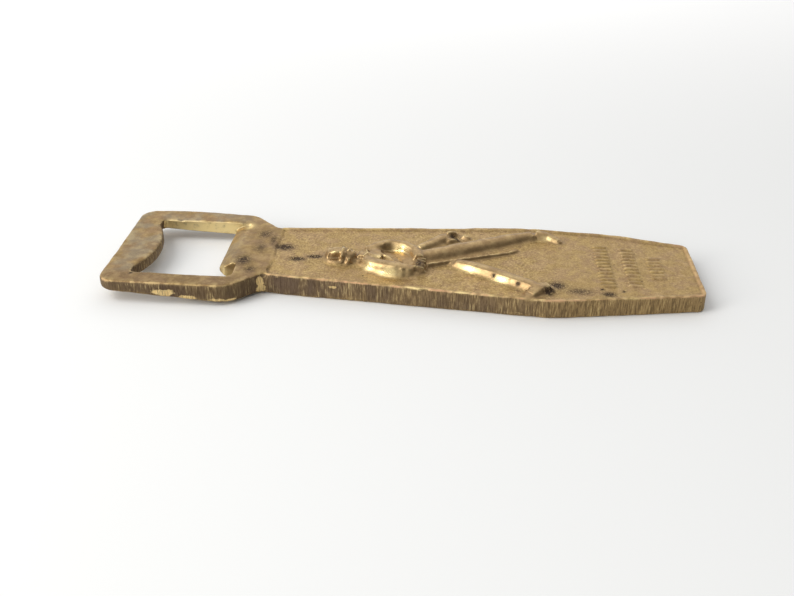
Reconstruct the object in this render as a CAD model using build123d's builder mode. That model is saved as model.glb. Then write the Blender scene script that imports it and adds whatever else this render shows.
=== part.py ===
"""Cast brass bottle opener with a golfer in relief on its handle, in millimetres.

X runs along the tool, from the opener ring at -X to the tail at +X. Y runs across it, and Z up from the
surface that it lies on. The origin is the middle of the base. The real tool is one casting, and its regions
are written here as separate solids that meet face to face.
"""

import os
from math import atan, cos, sin

from build123d import *

os.makedirs("parts", exist_ok=True)

# Driving dimensions. Distances called "at" are measured along the tool, from the ring's free end.
LENGTH = 150.0
RING_SIDES_AT = 32.4  # end of the ring's straight sides
NECK_AT = 39.6  # where the sloped shoulders meet the handle
FIELD_AT = 41.0  # step down from the ring to the handle's sunk field
WIDEST_AT = 111.8
RING_HALF = 20.4
NECK_HALF = 13.2
WIDEST_HALF = 19.8
TAIL_HALF = 13.6
TIP_TOP = 5.96  # height of the top face at the ring's free end
TAIL_TOP = 4.7
TIP_LIFT = 3.2  # the ring's underside rises to this height at its free end
LIFT_AT = 44.0  # the underside lies flat from here to the tail

# Plan radii of the outline's corners.
TIP_CORNER = 4.2
SHOULDER_CORNER = 7.0
NECK_CORNER = 2.4
WIDEST_CORNER = 30.0
TAIL_CORNER = 2.6

# The window that takes a crown cap, and the two things that work on the cap.
WINDOW_FROM = 7.0
WINDOW_TO = 32.4
WINDOW_HALF = 14.9
WINDOW_LIP_CORNER = 2.0
WINDOW_LOBE_CORNER = 1.2
LOBE_FAR = 12.0
LOBE_NEAR = -12.4
LOBE_RISE = 3.1
LIP_RIDGE_AT = 31.4
LIP_TIP_AT = 27.5
LIP_NEAR = -8.2
LIP_TIP_TOP = 3.4
LIP_TIP_BOTTOM = 2.2
LIP_ROOT_BOTTOM = 1.0
LIP_CORNER = 1.6  # slope across the lip's free corner
LIP_EDGE = 0.5

# The sunk field and its border, and edge rounding.
FIELD_DEPTH = 0.45
BORDER_WIDTH = 1.1
TOP_EDGE = 0.7
WINDOW_EDGE = 0.5
WINDOW_BASE_EDGE = 1.2
LOBE_EDGE = 0.9
BASE_EDGE = 0.5
BORDER_EDGE = 0.3
RELIEF_EDGE_SHARE = 0.5

# Heights of the relief above the field.
CAP_RISE = 3.2
HEAD_RISE = 2.8
COLLAR_RISE = 2.1
ARM_RISE = 2.7
HAND_RISE = 2.5
JACKET_RISE = 2.1
TAIL_FLAP_RISE = 1.5
LEFT_LEG_RISE = 2.0
RIGHT_LEG_RISE = 1.7
SHOE_RISE = 1.6
CLUB_RISE = 0.8
BAR_RISE = 0.45

# Ornament: three rows of short rounded bars near the tail, as (at, lowest Y, highest Y).
BAR_ROWS = ((126.4, -11.2, 11.2), (133.2, -9.9, 9.9), (139.6, -5.6, 5.6))
BAR_LENGTH = 3.7
BAR_WIDTH = 0.9
BAR_PITCH = 1.75

BLANK_HEIGHT = 12.0
SLOPE = (TIP_TOP - TAIL_TOP) / LENGTH
TOP_AT_ORIGIN = (TIP_TOP + TAIL_TOP) / 2
SIDE_GROWTH = (WIDEST_HALF - NECK_HALF) / (WIDEST_AT - NECK_AT)
FIELD_START_HALF = NECK_HALF + SIDE_GROWTH * (FIELD_AT - NECK_AT)


def row(at):
    """X in the part's frame of a distance from the ring's free end."""
    return at - LENGTH / 2


def top(at):
    """Height of the tool's top plane at a distance from the ring's free end."""
    return TIP_TOP - SLOPE * at


def underside(at):
    """Height of the underside at a distance from the ring's free end."""
    return max(0.0, TIP_LIFT * (1 - at / LIFT_AT))


def side_view(start, end, drop_top=0.0):
    """Corners of the tool's side view between two distances, with its top lowered by drop_top."""
    base = [(row(start), underside(start))]
    if start < LIFT_AT < end:
        base.append((row(LIFT_AT), 0.0))
    base.append((row(end), underside(end)))
    return base + [(row(end), top(end) - drop_top), (row(start), top(start) - drop_top)]


def mirrored(points):
    """A closed outline: the points on the +Y side, then the same ones on the -Y side in reverse."""
    return points + [(x, -y) for x, y in reversed(points)]


TILT = atan(SLOPE)
field_plane = Plane(
    origin=(0, 0, TOP_AT_ORIGIN - FIELD_DEPTH),
    x_dir=(cos(TILT), 0, -sin(TILT)),
    z_dir=(sin(TILT), 0, cos(TILT)),
)


# Opener ring: a rectangular ring with sloped shoulders down to the neck.
with BuildPart() as opener_ring:
    with BuildSketch():
        with BuildLine():
            Polyline(
                *mirrored(
                    [
                        (row(0), RING_HALF),
                        (row(RING_SIDES_AT), RING_HALF),
                        (row(NECK_AT), NECK_HALF),
                        (row(FIELD_AT), FIELD_START_HALF),
                    ]
                ),
                close=True,
            )
        make_face()
        corners = vertices().group_by(Axis.X)
        fillet(corners[0], radius=TIP_CORNER)
        fillet(vertices().filter_by(lambda v: abs(v.X - row(RING_SIDES_AT)) < 0.01), radius=SHOULDER_CORNER)
        fillet(vertices().filter_by(lambda v: abs(v.X - row(NECK_AT)) < 0.01), radius=NECK_CORNER)
    extrude(amount=BLANK_HEIGHT)
    with BuildSketch(Plane.XZ):
        with BuildLine():
            Polyline(*side_view(0, FIELD_AT), close=True)
        make_face()
    extrude(amount=2 * RING_HALF, both=True, mode=Mode.INTERSECT)
    seam_free = opener_ring.edges().filter_by(lambda e: e.center().X < row(FIELD_AT) - 0.1)
    fillet(seam_free.filter_by(lambda e: e.center().Z > top(FIELD_AT) - 0.1), radius=TOP_EDGE)
    seam_free = opener_ring.edges().filter_by(lambda e: e.bounding_box().max.X < row(FIELD_AT) + 0.01)
    low = opener_ring.faces().filter_by(lambda f: f.normal_at().Z < -0.9).sort_by(Axis.Z)[0].edges()
    fillet(low.filter_by(lambda e: e.center().X < row(FIELD_AT) - 0.1), radius=BASE_EDGE)
    with BuildSketch():
        with Locations((row((WINDOW_FROM + WINDOW_TO) / 2), 0)):
            Rectangle(WINDOW_TO - WINDOW_FROM, 2 * WINDOW_HALF)
        fillet(vertices().group_by(Axis.X)[-1], radius=WINDOW_LIP_CORNER)
        fillet(vertices().group_by(Axis.X)[0], radius=WINDOW_LOBE_CORNER)
    extrude(amount=BLANK_HEIGHT, mode=Mode.SUBTRACT)
    rims = opener_ring.edges().filter_by(
        lambda e: abs(abs(e.center().Y) - WINDOW_HALF) < 0.05 and e.length > WINDOW_TO - WINDOW_FROM - 5
    )
    fillet(rims.filter_by(lambda e: e.center().Z > TIP_LIFT), radius=WINDOW_EDGE)
    rims = opener_ring.edges().filter_by(
        lambda e: abs(abs(e.center().Y) - WINDOW_HALF) < 0.05 and e.length > WINDOW_TO - WINDOW_FROM - 5
    )
    fillet(rims.filter_by(lambda e: e.center().Z < TIP_LIFT), radius=WINDOW_BASE_EDGE)
opener_ring.part.label = "opener_ring"

# Fulcrum lobe: the rounded swelling on the ring's free bar, which rests on the middle of the cap.
with BuildPart() as fulcrum_lobe:
    with BuildSketch():
        with BuildLine():
            ThreePointArc(
                (row(WINDOW_FROM), LOBE_NEAR),
                (row(WINDOW_FROM + LOBE_RISE), (LOBE_NEAR + LOBE_FAR) / 2),
                (row(WINDOW_FROM), LOBE_FAR),
            )
            Line((row(WINDOW_FROM), LOBE_FAR), (row(WINDOW_FROM), LOBE_NEAR))
        make_face()
    extrude(amount=BLANK_HEIGHT)
    with BuildSketch(Plane.XZ):
        with BuildLine():
            Polyline(*side_view(WINDOW_FROM, WINDOW_FROM + LOBE_RISE + 1), close=True)
        make_face()
    extrude(amount=2 * RING_HALF, both=True, mode=Mode.INTERSECT)
    curved = fulcrum_lobe.faces().filter_by(GeomType.CYLINDER)[0]
    fillet(curved.edges().filter_by(lambda e: e.length > LOBE_FAR), radius=LOBE_EDGE)
fulcrum_lobe.part.label = "fulcrum_lobe"

# Lifting lip: the sloped tongue that catches under the cap's skirt.
with BuildPart() as lifting_lip:
    with BuildSketch(Plane.XZ.offset(-WINDOW_HALF)):
        with BuildLine():
            Polyline(
                (row(WINDOW_TO), LIP_ROOT_BOTTOM),
                (row(LIP_TIP_AT), LIP_TIP_BOTTOM),
                (row(LIP_TIP_AT), LIP_TIP_TOP),
                (row(LIP_RIDGE_AT), top(LIP_RIDGE_AT)),
                (row(WINDOW_TO), top(WINDOW_TO)),
                close=True,
            )
        make_face()
        fillet(vertices().group_by(Axis.X)[0], radius=LIP_EDGE)
    extrude(amount=WINDOW_HALF - LIP_NEAR)
    with BuildSketch():
        with BuildLine():
            Polyline(
                (row(LIP_TIP_AT) - 1, LIP_NEAR + LIP_CORNER + 1),
                (row(LIP_TIP_AT) + LIP_CORNER, LIP_NEAR),
                (row(LIP_TIP_AT) - 1, LIP_NEAR),
                close=True,
            )
        make_face()
    extrude(amount=BLANK_HEIGHT, mode=Mode.SUBTRACT)
    add(opener_ring.part, mode=Mode.SUBTRACT)
lifting_lip.part.label = "lifting_lip"


def handle_corners(inset, start):
    """The handle's outline from its seam with the ring to the tail, drawn in by inset on three sides."""
    return mirrored(
        [
            (row(start), FIELD_START_HALF - inset + SIDE_GROWTH * (start - FIELD_AT)),
            (row(WIDEST_AT), WIDEST_HALF - inset),
            (row(LENGTH - inset), TAIL_HALF - inset),
        ]
    )


# Handle plate: the long tapered blank, up to the level of the sunk field.
with BuildPart() as handle_plate:
    with BuildSketch():
        with BuildLine():
            Polyline(*handle_corners(0.0, FIELD_AT), close=True)
        make_face()
        fillet(vertices().filter_by(lambda v: abs(v.X - row(WIDEST_AT)) < 0.01), radius=WIDEST_CORNER)
        fillet(vertices().group_by(Axis.X)[-1], radius=TAIL_CORNER)
    extrude(amount=BLANK_HEIGHT)
    with BuildSketch(Plane.XZ):
        with BuildLine():
            Polyline(*side_view(FIELD_AT, LENGTH, drop_top=FIELD_DEPTH), close=True)
        make_face()
    extrude(amount=2 * RING_HALF, both=True, mode=Mode.INTERSECT)
    base = handle_plate.faces().sort_by(Axis.Z)[0]
    fillet(base.edges().filter_by(lambda e: e.center().X > row(LIFT_AT) + 1), radius=BASE_EDGE)
handle_plate.part.label = "handle_plate"

# Raised border: the narrow rim left standing round the field on three sides.
with BuildPart() as raised_border:
    with BuildSketch():
        with BuildLine():
            Polyline(*handle_corners(0.0, FIELD_AT), close=True)
        make_face()
        fillet(vertices().filter_by(lambda v: abs(v.X - row(WIDEST_AT)) < 0.01), radius=WIDEST_CORNER)
        fillet(vertices().group_by(Axis.X)[-1], radius=TAIL_CORNER)
        with BuildLine():
            Polyline(*handle_corners(BORDER_WIDTH, FIELD_AT - 1), close=True)
        make_face(mode=Mode.SUBTRACT)
    extrude(amount=BLANK_HEIGHT)
    with BuildSketch(Plane.XZ):
        with BuildLine():
            Polyline(
                (row(FIELD_AT), top(FIELD_AT) - FIELD_DEPTH),
                (row(LENGTH), top(LENGTH) - FIELD_DEPTH),
                (row(LENGTH), top(LENGTH)),
                (row(FIELD_AT), top(FIELD_AT)),
                close=True,
            )
        make_face()
    extrude(amount=2 * RING_HALF, both=True, mode=Mode.INTERSECT)
    crown = raised_border.faces().filter_by(lambda f: f.normal_at().Z > 0.9)
    fillet(crown.edges().filter_by(lambda e: e.center().X > row(FIELD_AT) + 0.1), radius=BORDER_EDGE)
raised_border.part.label = "raised_border"


def relief(label, links, rise, under=()):
    """A raised part of the figure that stands on the field.

    links is a chain of (at, y, radius) circles, each pair joined by its hull. rise is the height above the
    field. under lists the finished pieces that lie over this one, whose space is cut out of it.
    """
    with BuildPart() as piece:
        for first, second in zip(links, links[1:]):
            with BuildSketch(field_plane):
                for at, y, radius in (first, second):
                    with Locations((row(at), y)):
                        Circle(radius)
                make_hull()
            extrude(amount=rise)
        crown = piece.faces().filter_by(lambda f: abs(f.center().Z - top(f.center().X + LENGTH / 2)
                                                      + FIELD_DEPTH - rise) < 0.01)
        fillet(crown.edges(), radius=rise * RELIEF_EDGE_SHARE * 0.5)
        for above in under:
            add(above.part, mode=Mode.SUBTRACT)
        add(piece.solids().sort_by(SortBy.VOLUME)[-1], mode=Mode.REPLACE)
    piece.part.label = label
    return piece


# The golfer, from the pieces that lie on top to those beneath them.
golfer_cap = relief("golfer_cap", [(56.4, -0.9, 2.3), (57.0, -3.6, 2.2)], CAP_RISE)
golfer_head = relief("golfer_head", [(59.0, -2.4, 2.9), (60.6, -2.5, 2.5)], HEAD_RISE, [golfer_cap])
golfer_hands = relief("golfer_hands", [(79.0, -5.6, 1.5), (79.0, -7.4, 1.6)], HAND_RISE)
golfer_left_arm = relief(
    "golfer_left_arm", [(67.0, 2.0, 1.9), (72.4, 3.9, 1.7), (78.6, -4.2, 1.3)], ARM_RISE, [golfer_hands]
)
golfer_right_arm = relief(
    "golfer_right_arm", [(66.0, -5.2, 2.0), (72.6, -8.6, 1.8), (77.6, -7.8, 1.4)], ARM_RISE, [golfer_hands]
)
golfer_collar = relief(
    "golfer_collar", [(63.4, -3.4, 1.2), (63.6, -1.2, 1.2)], COLLAR_RISE, [golfer_head, golfer_right_arm]
)
club_shaft = relief("club_shaft", [(80.5, -4.7, 0.4), (102.2, 4.0, 0.35)], CLUB_RISE, [golfer_hands, golfer_left_arm])
club_head = relief("club_head", [(102.9, 4.2, 0.7), (103.8, 5.4, 0.6)], CLUB_RISE, [club_shaft])
golfer_jacket = relief(
    "golfer_jacket",
    [(66.4, -1.9, 3.4), (73.0, -2.4, 4.4), (82.0, -1.4, 3.6)],
    JACKET_RISE,
    [golfer_head, golfer_collar, golfer_hands, golfer_left_arm, golfer_right_arm, club_shaft],
)
coat_tail = relief(
    "coat_tail",
    [(78.4, 3.6, 1.3), (85.4, 10.0, 1.9), (90.2, 10.2, 1.0)],
    TAIL_FLAP_RISE,
    [golfer_left_arm, golfer_jacket],
)
golfer_left_leg = relief(
    "golfer_left_leg",
    [(83.5, 0.2, 3.0), (97.6, 7.7, 1.9), (108.6, 13.8, 1.4)],
    LEFT_LEG_RISE,
    [golfer_jacket, club_shaft, coat_tail],
)
golfer_right_leg = relief(
    "golfer_right_leg",
    [(86.0, -2.0, 1.7), (97.6, -7.8, 1.7), (106.4, -13.4, 1.5)],
    RIGHT_LEG_RISE,
    [golfer_jacket, golfer_left_leg, club_shaft],
)
golfer_left_shoe = relief(
    "golfer_left_shoe", [(110.4, 14.5, 1.5), (115.2, 11.8, 1.1)], SHOE_RISE, [golfer_left_leg]
)
golfer_right_shoe = relief(
    "golfer_right_shoe", [(109.6, -14.4, 1.6), (107.4, -16.8, 1.3)], SHOE_RISE, [golfer_right_leg]
)
figure = [
    golfer_cap,
    golfer_head,
    golfer_collar,
    golfer_jacket,
    golfer_left_arm,
    golfer_right_arm,
    golfer_hands,
    coat_tail,
    golfer_left_leg,
    golfer_right_leg,
    golfer_left_shoe,
    golfer_right_shoe,
    club_shaft,
    club_head,
]

# Ornament rows: short rounded bars side by side, one node for each row.
ornament = []
for number, (at, low_y, high_y) in enumerate(BAR_ROWS, start=1):
    count = int((high_y - low_y) / BAR_PITCH) + 1
    with BuildPart() as bar_row:
        with BuildSketch(field_plane):
            with Locations((row(at), (low_y + high_y) / 2)):
                with GridLocations(0, BAR_PITCH, 1, count):
                    SlotOverall(BAR_LENGTH, BAR_WIDTH)
        extrude(amount=BAR_RISE)
    bar_row.part.label = f"bar_row_{number}"
    ornament.append(bar_row)

for piece in [opener_ring, fulcrum_lobe, lifting_lip, handle_plate, raised_border, *figure, *ornament]:
    export_step(piece.part, f"parts/{piece.part.label}.step")
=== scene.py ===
"""Looks of a cast brass bottle opener with a golfer in relief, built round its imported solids.

The real tool is one casting. Its ring, handle and figure are therefore fused into one shell first, softened
as a sand casting is, knocked about and rubbed. The shell is then parted into the tool's named regions, each
a closed piece of its own.
"""

import logging
import math
from collections.abc import Iterable, Iterator, Sequence
from contextlib import contextmanager
from dataclasses import dataclass, field, fields
from enum import Enum
from typing import Any, ClassVar

import bpy
import numpy as np
from mathutils import Matrix, Vector


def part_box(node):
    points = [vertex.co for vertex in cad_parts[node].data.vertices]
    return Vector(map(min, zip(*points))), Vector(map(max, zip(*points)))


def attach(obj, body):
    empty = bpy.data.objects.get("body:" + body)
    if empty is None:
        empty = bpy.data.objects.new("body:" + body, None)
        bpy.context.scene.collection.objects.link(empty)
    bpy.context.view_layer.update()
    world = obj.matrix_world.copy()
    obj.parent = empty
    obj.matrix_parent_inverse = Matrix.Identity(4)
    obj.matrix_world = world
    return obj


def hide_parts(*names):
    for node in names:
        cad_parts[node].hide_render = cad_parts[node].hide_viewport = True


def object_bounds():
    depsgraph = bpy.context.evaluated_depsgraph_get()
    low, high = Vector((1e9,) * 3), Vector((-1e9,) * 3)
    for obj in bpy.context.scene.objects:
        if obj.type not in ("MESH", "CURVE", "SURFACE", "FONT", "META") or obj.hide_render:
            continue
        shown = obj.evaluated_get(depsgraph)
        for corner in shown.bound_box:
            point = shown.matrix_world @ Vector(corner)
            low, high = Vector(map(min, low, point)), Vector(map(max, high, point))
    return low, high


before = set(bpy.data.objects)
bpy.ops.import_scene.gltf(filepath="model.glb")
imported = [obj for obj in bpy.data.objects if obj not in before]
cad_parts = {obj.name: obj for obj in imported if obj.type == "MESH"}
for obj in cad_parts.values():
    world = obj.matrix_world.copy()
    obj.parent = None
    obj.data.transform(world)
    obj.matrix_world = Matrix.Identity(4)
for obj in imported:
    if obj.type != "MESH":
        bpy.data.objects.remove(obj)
CAD_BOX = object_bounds()

MM = 0.001
Array = np.ndarray
Colour = tuple[float, float, float]
Span = tuple[float, float]
log = logging.getLogger("brass_opener")


# ------------------------------------------------------------
# Small helpers


def smooth_step(value: Array, low: float, high: float) -> Array:
    """A soft step from 0 at low to 1 at high.

    Args:
        value: The numbers to pass through the step.
        low: Where the step starts.
        high: Where it ends; it may be less than low for a falling step.

    Returns:
        The stepped numbers, each from 0 to 1.
    """
    share = np.clip((value - low) / (high - low), 0.0, 1.0)
    return share * share * (3.0 - 2.0 * share)


def band(value: Array, rise: Span, fall: Span) -> Array:
    """Softly 1 between two ranges, given as smooth_step takes them, and 0 beyond them."""
    return smooth_step(value, *rise) * smooth_step(value, *fall)


def pick(*objects: bpy.types.Object) -> None:
    """Selects these objects and no others, and makes the first one active."""
    bpy.ops.object.select_all(action="DESELECT")
    for one in objects:
        one.select_set(True)
    bpy.context.view_layer.objects.active = objects[0]


@contextmanager
def editing() -> Iterator[None]:
    """Puts the active object in edit mode for the length of a with block."""
    bpy.ops.object.mode_set(mode="EDIT")
    yield
    bpy.ops.object.mode_set(mode="OBJECT")


def fuse(objects: Sequence[bpy.types.Object], name: str) -> bpy.types.Object:
    """Joins objects into one mesh object.

    Args:
        objects: What to join. The first one's frame is kept.
        name: The name of the result.

    Returns:
        The joined object, with its place in its mesh.
    """
    pick(*objects)
    bpy.ops.object.join()
    whole = bpy.context.view_layer.objects.active
    whole.name = name
    bpy.ops.object.transform_apply(location=True, rotation=True, scale=True)
    return whole


def modify(piece: bpy.types.Object, kind: str, **settings: Any) -> None:
    """Adds a modifier to a piece and applies it.

    Args:
        piece: The object to change.
        kind: The modifier's type.
        **settings: Its settings.
    """
    pick(piece)
    bpy.ops.object.modifier_add(type=kind)
    modifier = piece.modifiers[-1]
    for key, value in settings.items():
        setattr(modifier, key, value)
    bpy.ops.object.modifier_apply(modifier=modifier.name)


def read(parts: Sequence[Any], what: str, width: int = 1, kind: type = np.int32) -> Array:
    """One attribute of all of a mesh's vertices, edges, faces or loops, in rows if it is wider than one."""
    flat = np.empty(len(parts) * width, kind)
    parts.foreach_get(what, flat)
    return flat.reshape(-1, width) if width > 1 else flat


def read_vertices(mesh: bpy.types.Mesh, what: str = "co") -> Array:
    """A mesh's vertex places or normals as rows of three numbers."""
    return read(mesh.vertices, what, 3, np.float32).astype(float)


def write_vertices(mesh: bpy.types.Mesh, places: Array) -> None:
    """Puts a mesh's vertices at these places."""
    mesh.vertices.foreach_set("co", places.astype(np.float32).ravel())
    mesh.update()


def choose(mesh: bpy.types.Mesh, chosen: Array) -> None:
    """Selects these vertices of a mesh, and nothing else in it, for the next edit."""
    for parts in (mesh.edges, mesh.polygons):
        parts.foreach_set("select", np.zeros(len(parts), bool))
    mesh.vertices.foreach_set("select", chosen)


def edge_ends(mesh: bpy.types.Mesh) -> Array:
    """The two vertices of each of a mesh's edges."""
    return read(mesh.edges, "vertices", 2)


def choose_edges(mesh: bpy.types.Mesh, ends: Array, chosen: Array) -> None:
    """Selects these edges of a mesh, and nothing else in it, for the next edit.

    Args:
        mesh: The mesh; edges added to it since ends was read are left out.
        ends: The two vertices of each edge.
        chosen: Which edges to select.
    """
    mesh.polygons.foreach_set("select", np.zeros(len(mesh.polygons), bool))
    mesh.edges.foreach_set("select", np.pad(chosen, (0, len(mesh.edges) - len(chosen))))
    touched = np.zeros(len(mesh.vertices), bool)
    touched[ends[chosen].ravel()] = True
    mesh.vertices.foreach_set("select", touched)


# ------------------------------------------------------------
# The tool's measures


@dataclass(frozen=True)
class Layout:
    """Where the tool's faces lie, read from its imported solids. Distances "at" run from the ring's free end.

    Attributes:
        nose: X of the ring's free end, in metres.
        field_from: X of the step down to the sunk field.
        field_to: X of the tail.
        field_high: Height of the field at field_from.
        field_low: Height of the field at the tail.
    """

    nose: float
    field_from: float
    field_to: float
    field_high: float
    field_low: float

    @classmethod
    def read(cls) -> "Layout":
        """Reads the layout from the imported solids."""
        plate_low, plate_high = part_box("handle_plate")
        border_low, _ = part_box("raised_border")
        return cls(CAD_BOX[0][0], plate_low.x, plate_high.x, plate_high.z, border_low.z)

    def x(self, at: float) -> float:
        """X of a distance, in millimetres, from the ring's free end."""
        return self.nose + at * MM

    def at(self, x: Array) -> Array:
        """Distance from the ring's free end, in millimetres, of an X."""
        return (x - self.nose) / MM

    def field(self, x: Array | float) -> Array | float:
        """Height of the field's plane at an X."""
        share = (x - self.field_from) / (self.field_to - self.field_from)
        return self.field_high + share * (self.field_low - self.field_high)


LAYOUT = Layout.read()


@dataclass(frozen=True)
class Knot:
    """A rounded station of a limb.

    Attributes:
        at: Distance from the ring's free end, in millimetres.
        y: Place across the tool, in millimetres.
        half: Half width, in millimetres.
        rise: Height of its crown over the field, in millimetres.
        swell: How much higher the station would be if its crown were not pressed flat.
    """

    at: float
    y: float
    half: float
    rise: float
    swell: float = 1.12


Limb = tuple[Knot, ...]


def limb(*stations: tuple[float, float, float, float], swell: float = 1.12) -> Limb:
    """A limb from its stations, each (at, y, half width, rise) in millimetres."""
    return tuple(Knot(*station, swell) for station in stations)


@dataclass(frozen=True)
class LimbMaker:
    """Models limbs as half-buried rounded bars that lie on the field.

    Attributes:
        sides: Facets round a limb.
        thick: Half width over which a limb has a flat crown and a soft foot, in millimetres.
        skirt: How far the soft foot of a thick limb spreads, in millimetres.
        skirt_rise: Height of that foot, as a share of the limb's.
    """

    sides: int = 24
    thick: float = 1.0
    skirt: float = 0.8
    skirt_rise: float = 0.26

    def knot(self, knot: Knot) -> bpy.types.Object:
        """Adds the rounded station itself, as a ball pressed to its width and rise."""
        x, lift = LAYOUT.x(knot.at), knot.swell
        bpy.ops.mesh.primitive_uv_sphere_add(
            segments=self.sides,
            ring_count=self.sides // 2,
            radius=MM,
            location=(x, knot.y * MM, LAYOUT.field(x)),
            scale=(knot.half, knot.half, knot.rise * lift),
        )
        ball = bpy.context.view_layer.objects.active
        places = read_vertices(ball.data)
        places[:, 2] = np.clip(places[:, 2], -MM / lift, MM / lift)
        write_vertices(ball.data, places)
        return ball

    def link(self, first: Knot, second: Knot) -> bpy.types.Object:
        """Adds the bar between two stations.

        Args:
            first: Where the bar starts.
            second: Where it ends.

        Returns:
            The bar, with an end as wide and as high as each station.
        """
        start = Vector((LAYOUT.x(first.at), first.y * MM, 0.0))
        end = Vector((LAYOUT.x(second.at), second.y * MM, 0.0))
        run = end - start
        middle = (start + end) / 2
        middle.z = LAYOUT.field(middle.x)
        bpy.ops.mesh.primitive_cylinder_add(vertices=self.sides, radius=MM, depth=run.length)
        bar = bpy.context.view_layer.objects.active
        heights = read_vertices(bar.data)[:, 2]
        for sign, knot in ((-1, first), (1, second)):
            choose(bar.data, heights * sign > 0)
            with editing():
                size = (knot.rise * knot.swell, knot.half, 1)
                bpy.ops.transform.resize(value=size, center_override=(0, 0, 0))
        places = read_vertices(bar.data)
        crown = np.where(heights > 0, second.rise, first.rise) * MM
        places[:, 0] = np.clip(places[:, 0], -crown, crown)
        write_vertices(bar.data, places)
        bar.rotation_euler = (0, math.pi / 2, math.atan2(run.y, run.x))
        bar.location = middle
        return bar

    def build(self, shape: Limb) -> list[bpy.types.Object]:
        """Adds a whole limb.

        Args:
            shape: Its stations in order.

        Returns:
            The new objects, a ball for each station and a bar between each two.
        """
        skirts = tuple(
            Knot(knot.at, knot.y, knot.half + self.skirt, knot.rise * self.skirt_rise)
            for knot in shape
            if knot.half > self.thick
        )
        made = []
        for line in (shape, skirts):
            made += [self.knot(knot) for knot in line]
            made += [self.link(first, second) for first, second in zip(line, line[1:])]
        return made


# ------------------------------------------------------------
# The figure


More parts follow.
